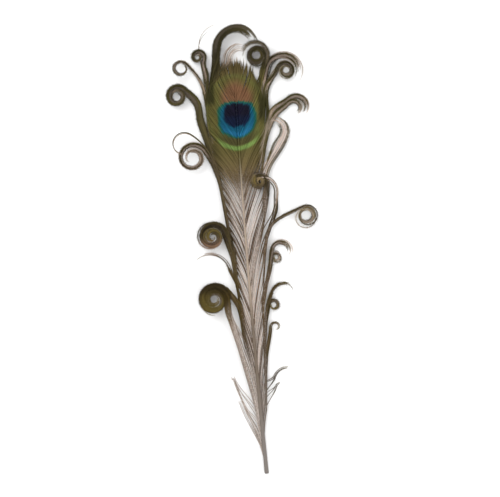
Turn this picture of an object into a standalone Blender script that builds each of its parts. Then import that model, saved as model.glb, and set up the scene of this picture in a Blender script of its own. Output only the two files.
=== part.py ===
"""A curled peacock eye feather, lying face up on a flat surface.

The shaft runs along +Y from the cut end of the quill to the tip above the eye. A vane of barbs
grows from each side of it. Below the eye the barbs are loose. They gather into locks, and each
lock ends in a curl that was rolled by hand. The eye itself is only colour on the two vanes.
"""

import math
from collections import namedtuple

import bmesh
import bpy
from mathutils import Vector

MM = 0.001

# Shaft, in millimetres. Heights are above the surface that the feather lies on.
SHAFT_LENGTH = 247.0
SHAFT_RADIUS_BASE = 1.3
SHAFT_RADIUS_TIP = 0.3
SHAFT_BOW = 1.3
SHAFT_ARCH = 3.0
SHAFT_TIP_HEIGHT = 3.6
SHAFT_SIDES_RESOLUTION = 2
SHAFT_POINTS = 19

# Vane web, the part where the barbs lie side by side, in millimetres.
WEB_START = 7.0
WEB_END = 258.0
WEB_THICKNESS = 0.8
WEB_DROOP = 2.0
WEB_REACH = 20.0
WEB_GAP = 0.3
WEB_ROWS = 16
WEB_COLUMNS = 2
# Half widths of the web at stations along the shaft, measured from the feather's axis.
WEB_EDGE = {
    -1: ((7, 2.8), (40, 3.9), (58, 5.2), (75, 7.4), (95, 8.6), (117, 8.8), (141, 10.2),
         (168, 13.4), (188, 15.8), (203, 18.2), (218, 20.0), (231, 19.6), (243, 16.8),
         (252, 12.0), (258, 4.0)),
    1: ((7, 2.6), (57, 3.8), (75, 4.9), (100, 6.6), (117, 7.8), (128, 8.6), (143, 10.0),
        (161, 11.4), (175, 12.6), (195, 13.2), (205, 15.0), (216, 16.6), (230, 17.6),
        (240, 16.5), (250, 12.0), (258, 3.5)),
}

# Locks. A lock leaves the shaft, runs up its vane, and ends in a spiral.
FINE_STEPS = 24
STEM_STEP = 8.0
WEB_HOLD = 4.0
EDGE_HOLD = 0.3
CURL_STEP = 4.4
CURL_STEP_DEG = (28, 50)
STACK_GAP = 0.25
ROLL_SPREAD = 0.25
FLAT_DEG = 0.5
ROOT_CLEARANCE = 0.8
VIA_CLEARANCE = 14.0
SPIRAL_RISE = 1.2
LOCK_TIP_SHARE = 0.55
VIA_HEIGHT = 3.4

# side: -1 for the left vane and 1 for the right. roots: the stretch of shaft that the barbs come
# from. lean: their angle to the shaft there. via: points that the bundle passes. centre, radius:
# the spiral. entry: where on its circle the bundle joins it, in degrees. spin: 1 anticlockwise,
# -1 clockwise. turns: its length. close: last radius over first. width: of the bundle. thick: of
# one lock. pitch: how far the curl leans, in degrees, down to the surface when positive. count:
# locks in the bundle. level: how much higher the curl lies than it would by itself. Lengths are
# in millimetres.
Bundle = namedtuple(
    "Bundle",
    "side roots lean via centre radius entry spin turns close width thick pitch count level",
    defaults=(0.0,),
)

LEFT_BUNDLES = {
    "quill_wisp": Bundle(
        -1, (9, 13), 20, ((-8.4, 23),), (-24.2, 42.3), 12.0, 13, 1, 0.06, 0.8, 1.0, 1.2, 2, 1),
    "low_wisp": Bundle(
        -1, (14, 26), 16, ((-9.5, 42),), (-27.1, 56.9), 12.0, 15, 1, 0.06, 0.8, 1.0, 1.2, 2, 1),
    "great_roll_outer": Bundle(
        -1, (22, 48), 8, ((-8.6, 75), (-12.4, 92)), (-24, 111), 8.8, -12, 1, 0.9, 0.6, 2.6, 1.6,
        12, 1, 6.4),
    "great_roll": Bundle(
        -1, (45, 84), 10, ((-6.0, 90), (-8.8, 107)), (-24, 111), 9.0, 42, 1, 1.6, 0.24, 3.0, 1.8,
        12, 3),
    "long_barb": Bundle(
        -1, (76, 82), 12, ((-9.2, 118),), (-25.3, 127), 13.4, 13, 1, 0.35, 0.95, 0.5, 1.1, 3, 1),
    "middle_roll": Bundle(
        -1, (80, 118), 14, ((-8.2, 126), (-10.2, 140)), (-21.6, 150), 8.2, 15, 1, 1.5, 0.24, 3.0,
        1.9, 16, 3),
    "ring_curl": Bundle(
        -1, (112, 148), 24, ((-12.4, 170), (-15.8, 190)), (-30, 200), 8.8, 32, 1, 1.35, 0.42, 2.4,
        1.5, -14, 2),
    "ring_loop": Bundle(
        -1, (140, 148), 24, ((-15.4, 188), (-20.0, 203)), (-34.3, 208.8), 7.4, 55, 1, 0.75, 0.85,
        0.5, 1.1, -14, 1, 4.0),
    "cheek_scroll": Bundle(
        -1, (146, 184), 28, ((-19.4, 208), (-23.2, 222), (-24.8, 234)), (-36.7, 239), 5.9, 42, 1,
        1.15, 0.5, 3.6, 1.9, 10, 3),
    "brow_loop": Bundle(
        -1, (180, 192), 28, ((-18.8, 232), (-21.4, 247)), (-32.8, 256), 4.7, 40, 1, 1.05, 0.7,
        1.4, 1.2, -20, 2),
    "brow_roll": Bundle(
        -1, (188, 202), 26, ((-16.6, 240), (-17.8, 251)), (-21.9, 262.6), 4.4, -25, 1, 1.4, 0.25,
        2.2, 1.7, 12, 2),
    "crown_stray": Bundle(
        -1, (196, 202), 24, ((-17.0, 238), (-20.0, 255)), (-8.5, 268), 12.6, 178, -1, 0.27, 0.95,
        0.5, 1.1, -14, 1),
    "crown_arch": Bundle(
        -1, (198, 218), 18, ((-13.2, 236), (-11.4, 251)), (2.4, 266.4), 12.0, 172, -1, 0.43, 0.92,
        5.6, 1.9, -24, 4),
    "crown_wisp": Bundle(
        -1, (212, 222), 8, ((-3.2, 247),), (4.4, 259.6), 7.6, 178, -1, 0.3, 0.9, 5.0, 1.2, -20, 1),
}

RIGHT_BUNDLES = {
    "quill_wisp": Bundle(
        1, (24, 34), 6, ((5.2, 42),), (18, 51.3), 8.0, 160, -1, 0.08, 0.8, 1.0, 1.2, 2, 1),
    "elbow_strand": Bundle(
        1, (32, 42), 5, ((5.2, 50),), (18.5, 56.4), 9.2, 158, -1, 0.24, 0.9, 0.8, 1.2, 2, 1),
    "low_curl": Bundle(
        1, (22, 36), 8, ((5.4, 72),), (12.9, 91), 3.0, 175, -1, 0.8, 0.5, 1.2, 1.2, 18, 1),
    "edge_curl": Bundle(
        1, (30, 52), 8, ((4.8, 75), (7.2, 96)), (13.0, 104.4), 3.5, 165, -1, 0.95, 0.5, 1.2, 1.2,
        20, 1),
    "edge_arch": Bundle(
        1, (44, 58), 8, ((5.6, 88), (8.6, 103)), (20.4, 110), 8.6, 160, -1, 0.3, 0.9, 1.2, 1.3,
        -10, 1),
    "hook_inner": Bundle(
        1, (54, 68), 10, ((6.4, 108), (10.8, 124)), (16.8, 134.4), 2.9, 165, -1, 1.1, 0.5, 1.2,
        1.2, 12, 1),
    "hook": Bundle(
        1, (60, 84), 10, ((6.2, 108), (12.0, 126)), (20.0, 138.4), 5.4, 165, -1, 0.52, 0.85, 2.0,
        1.5, 12, 2),
    "reaching_curl": Bundle(
        1, (84, 98), 14, ((10.6, 141), (16.0, 155)), (37.3, 159), 5.8, 115, -1, 1.25, 0.5, 1.6,
        1.3, 14, 2),
    "chin_arch": Bundle(
        1, (96, 108), 14, ((13.4, 151), (18.6, 163)), (10.8, 176.5), 9.7, -12, 1, 0.42, 0.7, 0.8,
        1.2, -18, 1),
    "chin_roll": Bundle(
        1, (106, 140), 16, ((9.8, 158), (13.4, 171)), (10, 182.4), 5.0, -8, 1, 1.4, 0.28, 2.2,
        1.8, -20, 3),
    "stray_strand": Bundle(
        1, (136, 154), 18, ((14.2, 189), (23.6, 203)), (21.4, 213.4), 7.4, -15, 1, 0.3, 0.9, 5.0,
        1.3, -8, 1),
    "cheek_hook_inner": Bundle(
        1, (152, 166), 20, ((15.8, 207), (23.0, 222)), (35.5, 226), 4.8, 132, -1, 0.5, 0.7, 2.0,
        1.4, 12, 2),
    "cheek_hook": Bundle(
        1, (164, 180), 22, ((15.4, 208), (21.8, 225)), (38, 226.5), 7.6, 130, -1, 0.42, 0.7, 2.2,
        1.5, 10, 2),
    "brow_crook_inner": Bundle(
        1, (178, 190), 24, ((17.8, 222), (19.4, 240)), (32.2, 250.2), 5.2, 160, -1, 1.2, 0.4,
        2.2, 1.5, 16, 2),
    "brow_crook": Bundle(
        1, (188, 202), 24, ((16.6, 222), (17.6, 240)), (30.4, 249.2), 10.6, 165, -1, 0.52, 0.9,
        2.6, 1.5, -14, 2),
    "crown_scroll": Bundle(
        1, (200, 214), 18, ((13.8, 237), (17.4, 250)), (15.0, 260.2), 5.9, -5, 1, 1.2, 0.48, 2.6,
        1.9, 14, 3),
    "crown_tail": Bundle(
        1, (208, 216), 16, ((14.2, 237), (18.4, 250)), (13.6, 260.3), 8.4, -5, 1, 0.48, 0.95, 1.2,
        1.2, 16, 1, 4.5),
}

# Colours and finish of the two materials.
QUILL_COLOUR = (0.42, 0.36, 0.29, 1.0)
BARB_COLOUR = (0.115, 0.098, 0.036, 1.0)
QUILL_ROUGHNESS = 0.42
BARB_ROUGHNESS = 0.6


def clear_scene():
    for obj in list(bpy.data.objects):
        bpy.data.objects.remove(obj)


def make_material(name, colour, roughness):
    material = bpy.data.materials.new(name)
    material.use_nodes = True
    shader = material.node_tree.nodes["Principled BSDF"]
    shader.inputs["Base Color"].default_value = colour
    shader.inputs["Roughness"].default_value = roughness
    shader.inputs["Metallic"].default_value = 0.0
    return material


def mix(a, b, share):
    return a + (b - a) * share


def along(profile, y):
    """The value at y of a list of (y, value) points, eased between them."""
    for (y0, a), (y1, b) in zip(profile, profile[1:]):
        if y <= y1:
            share = max(0.0, (y - y0) / (y1 - y0))
            return mix(a, b, share * share * (3 - 2 * share))
    return profile[-1][1]


def shaft_radius(y):
    return mix(SHAFT_RADIUS_BASE, SHAFT_RADIUS_TIP, min(y / SHAFT_LENGTH, 1.0))


def shaft_centre(y):
    """The shaft's centreline: it bows a little to the left and arches off the surface."""
    share = min(max(y / SHAFT_LENGTH, 0.0), 1.05)
    x = -SHAFT_BOW * math.sin(math.pi * share)
    z = mix(SHAFT_RADIUS_BASE, SHAFT_TIP_HEIGHT, share) + SHAFT_ARCH * math.sin(math.pi * share)
    return Vector((x, y, z))


def web_height(x, y):
    """The web's middle surface: level with the shaft there, and drooping towards its edges."""
    centre = shaft_centre(y)
    return centre.z - WEB_DROOP * ((x - centre.x) / WEB_REACH) ** 2


def hermite(p0, m0, p1, m1, t):
    a = 2 * t**3 - 3 * t**2 + 1
    b = t**3 - 2 * t**2 + t
    c = 3 * t**2 - 2 * t**3
    d = t**3 - t**2
    return p0 * a + m0 * b + p1 * c + m1 * d


def turned(angle_deg):
    angle = math.radians(angle_deg)
    return Vector((math.cos(angle), math.sin(angle)))


def edge_at(side, y):
    return side * along(WEB_EDGE[side], y)


def stack_height(bundle):
    """The locks of a bundle lie one above the other in its curl. This is first to last."""
    return (bundle.count - 1) * (bundle.thick + STACK_GAP)


def spiral_points(bundle, share):
    """One lock's curl, from its entry inwards."""
    outward = -bundle.side * bundle.spin * bundle.width * ROLL_SPREAD * (share - 0.5)
    step_deg = min(max(math.degrees(CURL_STEP / bundle.radius), CURL_STEP_DEG[0]), CURL_STEP_DEG[1])
    steps = max(2, round(360 * bundle.turns / step_deg))
    slope = math.sin(math.radians(abs(bundle.pitch)))
    tallest = bundle.radius * slope
    half = (stack_height(bundle) + bundle.thick) / 2
    if bundle.pitch > 0:
        middle = half + tallest
    else:
        middle = max(VIA_HEIGHT, half) + tallest
        slope = -slope
    middle += bundle.level + stack_height(bundle) * (share - 0.5)
    centre = Vector(bundle.centre)
    across = turned(bundle.entry)
    points = []
    for step in range(steps + 1):
        done = step / steps
        reach = (bundle.radius + outward) * mix(1.0, bundle.close, done)
        place = centre + turned(bundle.entry + bundle.spin * 360 * bundle.turns * done) * reach
        lift = slope * (place - centre).dot(across) + SPIRAL_RISE * bundle.turns * done
        points.append(Vector((place.x, place.y, middle + lift)))
    return points


def stem_points(bundle):
    """The middle of a bundle, in plan, from the shaft to the entry of its curl."""
    root_y = mix(bundle.roots[0], bundle.roots[1], 0.5)
    shaft = shaft_centre(root_y)
    clear = shaft_radius(root_y) + ROOT_CLEARANCE
    entry = Vector(bundle.centre) + turned(bundle.entry) * bundle.radius
    knots = [Vector((shaft.x + bundle.side * clear, root_y))]
    knots += [Vector(via) for via in bundle.via if via[1] > root_y + VIA_CLEARANCE]
    knots.append(entry)
    lean = math.radians(bundle.lean)
    directions = [Vector((bundle.side * math.sin(lean), math.cos(lean)))]
    for before, after in zip(knots, knots[2:]):
        directions.append((after - before).normalized())
    directions.append(turned(bundle.entry + 90 * bundle.spin))
    fine = []
    for index in range(len(knots) - 1):
        span = (knots[index + 1] - knots[index]).length
        for step in range(FINE_STEPS):
            fine.append(hermite(knots[index], directions[index] * span, knots[index + 1],
                                directions[index + 1] * span, step / FINE_STEPS))
    fine.append(entry)
    return fine


def shifted(path, index, distance):
    """A point of a plan path, moved sideways to the right of its direction."""
    before = path[max(index - 1, 0)]
    after = path[min(index + 1, len(path) - 1)]
    ahead = (after - before).normalized()
    return path[index] + Vector((ahead.y, -ahead.x)) * distance


def held_stem(bundle, share, curl):
    """The part of the stem that a lock's solid needs: it starts a little inside the web.

    The locks of a bundle lie side by side in the web. As they leave it they turn until they lie
    one above the other.
    """
    fine = stem_points(bundle)
    beside = -bundle.side * (share - 0.5) * bundle.count * (bundle.thick + STACK_GAP)
    rolled = -bundle.side * (share - 0.5) * bundle.width * ROLL_SPREAD
    spread = [shifted(fine, index, beside) for index in range(len(fine))]
    inside = [
        index for index, p in enumerate(spread)
        if p.y < WEB_END - 2 and abs(p.x) < abs(edge_at(bundle.side, p.y)) - EDGE_HOLD
    ]
    leaves = max(inside, default=0)
    lengths = [0.0]
    for before, after in zip(fine, fine[1:]):
        lengths.append(lengths[-1] + (after - before).length)
    begin = max(0.0, lengths[leaves] - WEB_HOLD)
    count = max(2, round((lengths[-1] - begin) / STEM_STEP))
    middle_z = curl[0].z - stack_height(bundle) * (share - 0.5)
    points = []
    for step in range(count):
        want = mix(begin, lengths[-1], step / count)
        index = min(range(len(fine)), key=lambda i: abs(lengths[i] - want))
        free = (want - lengths[leaves]) / max(lengths[-1] - lengths[leaves], 0.001)
        free = min(max(free, 0.0), 1.0)
        twist = free * math.pi / 2
        flat = shifted(fine, index, mix(rolled, beside, math.cos(twist)))
        height = web_height(
            bundle.side * min(abs(flat.x), abs(edge_at(bundle.side, min(flat.y, WEB_END)))),
            min(flat.y, WEB_END))
        ease = free * free * (3 - 2 * free)
        rise = stack_height(bundle) * (share - 0.5) * math.sin(twist)
        points.append(Vector((flat.x, flat.y, mix(height, middle_z, ease) + rise)))
    return points


def lock_path(bundle, share):
    """Points of one lock's solid. share is its place in the bundle, from 0 to 1."""
    curl = spiral_points(bundle, share)
    return held_stem(bundle, share, curl) + curl


def poly_curve(name, points, radii, depth, resolution):
    """A tube along the points, in millimetres, as a POLY spline with filled caps."""
    curve = bpy.data.curves.new(name, "CURVE")
    curve.dimensions = "3D"
    curve.bevel_depth = depth * MM
    curve.bevel_resolution = resolution
    curve.use_fill_caps = True
    spline = curve.splines.new("POLY")
    spline.points.add(len(points) - 1)
    for spline_point, place, radius in zip(spline.points, points, radii):
        spline_point.co = (*(place * MM), 1.0)
        spline_point.radius = radius
    obj = bpy.data.objects.new(name, curve)
    bpy.context.scene.collection.objects.link(obj)
    return obj


def as_mesh(curve_object, name):
    """A curve object's evaluated tube as a closed mesh object. The curve is removed."""
    bpy.context.view_layer.update()
    graph = bpy.context.evaluated_depsgraph_get()
    mesh = bpy.data.meshes.new_from_object(curve_object.evaluated_get(graph))
    sewn = bmesh.new()
    sewn.from_mesh(mesh)
    bmesh.ops.remove_doubles(sewn, verts=sewn.verts, dist=0.00001)
    bmesh.ops.triangulate(sewn, faces=sewn.faces)
    bmesh.ops.recalc_face_normals(sewn, faces=sewn.faces)
    sewn.to_mesh(mesh)
    sewn.free()
    mesh.materials.clear()
    obj = bpy.data.objects.new(name, mesh)
    obj.matrix_world = curve_object.matrix_world
    bpy.context.scene.collection.objects.link(obj)
    bpy.data.objects.remove(curve_object)
    return obj


def make_lock(name, bundle, share):
    points = lock_path(bundle, share)
    last = len(points) - 1
    radii = [mix(1.0, LOCK_TIP_SHARE, (index / last) ** 2) for index in range(last + 1)]
    return as_mesh(poly_curve(name + "_line", points, radii, bundle.thick / 2, 0), name)


def make_web(side, name):
    """The flat part of one vane: a grid laid out between the shaft and the vane's edge."""
    mesh = bpy.data.meshes.new(name)
    grid = bmesh.new()
    bmesh.ops.create_grid(grid, x_segments=WEB_COLUMNS, y_segments=WEB_ROWS, size=0.5)
    for vert in grid.verts:
        across, y = vert.co.x + 0.5, mix(WEB_START, WEB_END, vert.co.y + 0.5)
        shaft = shaft_centre(y)
        inner = shaft.x + side * (shaft_radius(y) + WEB_GAP)
        outer = side * along(WEB_EDGE[side], y)
        x = mix(inner, outer, across)
        vert.co = Vector((x, y, web_height(x, y))) * MM
    grid.to_mesh(mesh)
    grid.free()
    obj = bpy.data.objects.new(name, mesh)
    bpy.context.scene.collection.objects.link(obj)
    shell = obj.modifiers.new("thickness", "SOLIDIFY")
    shell.thickness = WEB_THICKNESS * MM
    shell.offset = 0.0
    bpy.context.view_layer.update()
    graph = bpy.context.evaluated_depsgraph_get()
    closed = bpy.data.meshes.new_from_object(obj.evaluated_get(graph))
    obj.modifiers.clear()
    obj.data = closed
    facing = bmesh.new()
    facing.from_mesh(closed)
    bmesh.ops.triangulate(facing, faces=facing.faces)
    bmesh.ops.recalc_face_normals(facing, faces=facing.faces)
    facing.to_mesh(closed)
    facing.free()
    return obj


def fuse(body, addition):
    """Joins addition to body by a Boolean union, and removes it."""
    union = body.modifiers.new("union", "BOOLEAN")
    union.operation = "UNION"
    union.solver = "EXACT"
    union.object = addition
    bpy.context.view_layer.update()
    graph = bpy.context.evaluated_depsgraph_get()
    joined = bpy.data.meshes.new_from_object(body.evaluated_get(graph))
    body.modifiers.clear()
    body.data = joined
    bpy.data.objects.remove(addition)


def merge_flat_faces(mesh):
    """Merges the faces that lie in one plane, and lays the triangles out again."""
    shell = bmesh.new()
    shell.from_mesh(mesh)
    bmesh.ops.dissolve_limit(
        shell, angle_limit=math.radians(FLAT_DEG), verts=shell.verts, edges=shell.edges)
    bmesh.ops.triangulate(shell, faces=shell.faces)
    shell.to_mesh(mesh)
    shell.free()


def make_vane(name, side, bundles, material):
    vane = make_web(side, name)
    for label, bundle in bundles.items():
        for index in range(bundle.count):
            share = (index + 0.5) / bundle.count
            fuse(vane, make_lock(f"{label}_{index}", bundle, share))
    merge_flat_faces(vane.data)
    vane.data.materials.clear()
    vane.data.materials.append(material)
    return vane


def make_shaft(material):
    places = [SHAFT_LENGTH * index / (SHAFT_POINTS - 1) for index in range(SHAFT_POINTS)]
    points = [shaft_centre(y) for y in places]
    radii = [shaft_radius(y) / SHAFT_RADIUS_BASE for y in places]
    line = poly_curve("shaft_line", points, radii, SHAFT_RADIUS_BASE, SHAFT_SIDES_RESOLUTION)
    shaft = as_mesh(line, "shaft")
    shaft.data.materials.append(material)
    shaft.data.shade_smooth()
    return shaft


def centre_on_origin(objects):
    """Moves the feather so that its box is centred on the origin and stands on z = 0."""
    corners = [vert.co for obj in objects for vert in obj.data.vertices]
    low = Vector([min(c[axis] for c in corners) for axis in range(3)])
    high = Vector([max(c[axis] for c in corners) for axis in range(3)])
    shift = Vector((-(low.x + high.x) / 2, -(low.y + high.y) / 2, -low.z))
    for obj in objects:
        for vert in obj.data.vertices:
            vert.co += shift


def main():
    clear_scene()
    quill = make_material("quill_keratin", QUILL_COLOUR, QUILL_ROUGHNESS)
    barbs = make_material("olive_barbs", BARB_COLOUR, BARB_ROUGHNESS)
    feather = bpy.data.collections.new("peacock_feather")
    bpy.context.scene.collection.children.link(feather)
    pieces = [
        make_shaft(quill),
        make_vane("left_vane", -1, LEFT_BUNDLES, barbs),
        make_vane("right_vane", 1, RIGHT_BUNDLES, barbs),
    ]
    centre_on_origin(pieces)
    for piece in pieces:
        for holder in list(piece.users_collection):
            holder.objects.unlink(piece)
        feather.objects.link(piece)


main()
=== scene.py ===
"""The looks of the curled peacock feather: its quill, its loose and curled barbs, and its eye.

Lengths in the tables are in millimetres, x across the feather and y along it from the cut end of
the quill. They are turned into metres, and into the frame's place, when a mesh is made.
"""

import math
from collections import namedtuple

import bpy
import numpy as np
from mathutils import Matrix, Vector


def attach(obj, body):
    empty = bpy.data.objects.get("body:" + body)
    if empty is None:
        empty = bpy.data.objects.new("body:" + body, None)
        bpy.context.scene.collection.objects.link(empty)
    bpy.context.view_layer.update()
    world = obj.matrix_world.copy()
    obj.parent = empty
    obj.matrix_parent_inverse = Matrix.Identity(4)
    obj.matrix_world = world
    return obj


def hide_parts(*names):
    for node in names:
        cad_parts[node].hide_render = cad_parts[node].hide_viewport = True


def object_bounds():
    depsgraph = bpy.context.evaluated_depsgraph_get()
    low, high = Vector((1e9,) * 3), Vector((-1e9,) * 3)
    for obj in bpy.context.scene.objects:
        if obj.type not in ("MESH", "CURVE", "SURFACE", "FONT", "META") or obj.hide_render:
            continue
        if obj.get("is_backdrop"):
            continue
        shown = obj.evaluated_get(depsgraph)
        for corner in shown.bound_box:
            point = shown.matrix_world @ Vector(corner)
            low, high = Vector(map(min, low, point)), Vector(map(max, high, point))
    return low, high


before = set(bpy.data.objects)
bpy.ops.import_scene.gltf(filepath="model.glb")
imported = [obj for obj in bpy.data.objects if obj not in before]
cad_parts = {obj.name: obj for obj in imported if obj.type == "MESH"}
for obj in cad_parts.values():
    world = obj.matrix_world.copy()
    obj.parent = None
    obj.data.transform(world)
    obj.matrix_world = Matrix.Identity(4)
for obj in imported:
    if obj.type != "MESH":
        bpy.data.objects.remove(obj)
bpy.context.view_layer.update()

MM = 0.001
SEED = 20
UP = np.array((0.0, 0.0, 1.0))
PIECE_TRIANGLES = 110000  # a piece of the vanes is closed once it has more than this

# The shaft, the web and the spirals of the locks, as in the solids.
SHAFT_LENGTH = 247.0
SHAFT_RADIUS_BASE = 1.3
SHAFT_RADIUS_TIP = 0.3
SHAFT_BOW = 1.3
SHAFT_ARCH = 3.0
SHAFT_TIP_HEIGHT = 3.6
WEB_DROOP = 2.0
WEB_REACH = 20.0
WEB_END = 258.0
STACK_GAP = 0.25
SPIRAL_RISE = 1.2
VIA_HEIGHT = 3.4

# The quill's mesh. The groove runs along its upper face, which is flattened above the cut end.
QUILL_SIDES = 20
BORE_SHARE = 0.78
BORE_DEPTH = 7.0
GROOVE_DEPTH = 0.16
GROOVE_WIDTH = 0.12
FLATTEST = 0.86
TIP_POINT = 0.5

# Heights along the shaft where the looks of the barbs change.
FILL_START = 30.0  # the web's own barbs start here
LOOSE_END = 172.0  # they are few below it
FILL_DOUBLED = 214.9  # there are twice as many from here to the next height
FAN_START = 226.0  # they stand up side by side above it
CROWN_TOP = 262.0  # they end here
EYE_LOW, EYE_FULL = 182, 202  # barbs grow broader from the first to the second
SHORT_BARBULES_END = 186  # barbules in the web are short below it
SHORT_BARBULES_GATHER = 0.66  # and so are those next to it, up to this gather
STRANDS_START = (26, 40)  # barbs begin to draw together into strands, and do so fully
STRANDS_END = (160, 184)  # they begin to lie apart again, and do so fully

# The barbs.
BARB_STEP = 2.3  # the length of a barb's facets in the web
CURL_DENSE = 0.9  # facets are shorter by this share in a curl
STEM_STEPS = 10  # points between two knots of a stem
CURL_STEPS = 40  # points in one turn of a curl
WEB_STOPS = (0.22, 0.45, 0.7, 0.93)  # knots on the way from the shaft, 0, to the web's edge, 1
FIELD_BEND = 0.94  # below 1, barbs rise a little sooner on their way across the web
FLOOR_GAP = 0.25
STRAND = 5.0  # the spacing of the strands that the loose web is drawn into
STRAND_SHIFT = 0.9  # how far a strand can be from its even place
STRAND_TIGHT = 0.9  # how far barbs are drawn to the middle of their strand, 0 to 1
FILL_STEP = 0.85  # the spacing of the web's own barbs around the eye
STRAY_SHARE = 0.07  # the share of a bundle's barbs that stray from it
STRAY_LOOSE = 2.2
FEW_BARBS = 6  # bundles up to this number have no strays, and only a thin fringe
PALE_CHANCE = 0.85  # that a barb in the middle of its bundle is pale out of the web
USUAL_PALE_SHARE = 0.68
USUAL_BROWN_FROM = 0.48
BROWN_FULL = 0.92
BROWN_AT_EDGE = {-1: 0.66, 1: 0.4}  # the gather of the brown barbs at the web's edge

# Half the width and half the thickness of a barb.
HALF_WIDTH = 0.15
HALF_WIDTH_OF_FEW = 0.19  # in bundles that have fewer barbs than the next number
SMALL_BUNDLE = 10
EYE_WIDTH = 0.29  # added at the eye
CURL_WIDTH = 0.08  # added in a curl
FILL_HALF_WIDTH = 0.14  # the web's own barbs
FILL_EYE_WIDTH = 0.36
THICKEST = 0.14

# Barbules: their half width, their slant, and their length and spacing in each kind of place.
SPIKE_WIDTH = 0.08
FRINGE_DEG = 36.0
LOCK_FRINGE = (1.5, 1.2)
FEW_FRINGE = (0.7, 1.6)
WISP_FRINGE = (0.5, 2.0)
LOOSE_FRINGE = (1.9, 1.0)
EYE_FRINGE = (1.1, 1.5)

# Half the web's width on each side, as (height, width).
WEB_EDGE = {
    -1: ((7, 2.8), (40, 3.9), (58, 5.2), (75, 7.4), (95, 8.6), (117, 8.8), (141, 10.2),
         (168, 13.4), (188, 15.8), (203, 18.2), (218, 20.0), (231, 19.6), (243, 16.8),
         (252, 12.0), (258, 4.0)),
    1: ((7, 2.6), (57, 3.8), (75, 4.9), (100, 6.6), (117, 7.8), (128, 8.6), (143, 10.0),
        (161, 11.4), (175, 12.6), (195, 13.2), (205, 15.0), (216, 16.6), (230, 17.6),
        (240, 16.5), (250, 12.0), (258, 3.5)),
}

# Where a barb that grows from the shaft at the first height reaches the web's edge.
JOINS = {
    -1: ((5, 15), (15, 26), (27, 46), (48, 90), (84, 110), (118, 139), (148, 180), (184, 212),
         (192, 226), (202, 237), (218, 249), (224, 253), (242, 260)),
    1: ((5, 14), (20, 38), (38, 58), (52, 82), (84, 117), (98, 143), (108, 155), (140, 173),
        (152, 188), (166, 201), (180, 211), (190, 225), (202, 235), (214, 245), (222, 251),
        (242, 260)),
}

# Each bundle of barbs, in three lines:
# - its name, its side, the stretch of shaft that it grows from, and points that it passes
# - the spiral that it ends in: its centre, its outer radius, the angle where it starts, its
#   direction, its turns, and its inner radius as a share of the outer one
# - how far it spreads across, then the thickness, the tilt in degrees and the number of the
#   spirals on top of each other, as in the solids (the entry is the high side where the tilt is
#   over 0), the number of barbs drawn, how pale they are in the curl, 0 to 1, and how far the curl
#   is lifted
Bundle = namedtuple(
    "Bundle",
    "name side roots via centre radius entry spin turns close width thick pitch count barbs pale "
    "level",
    defaults=(0.0,),
)

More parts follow.
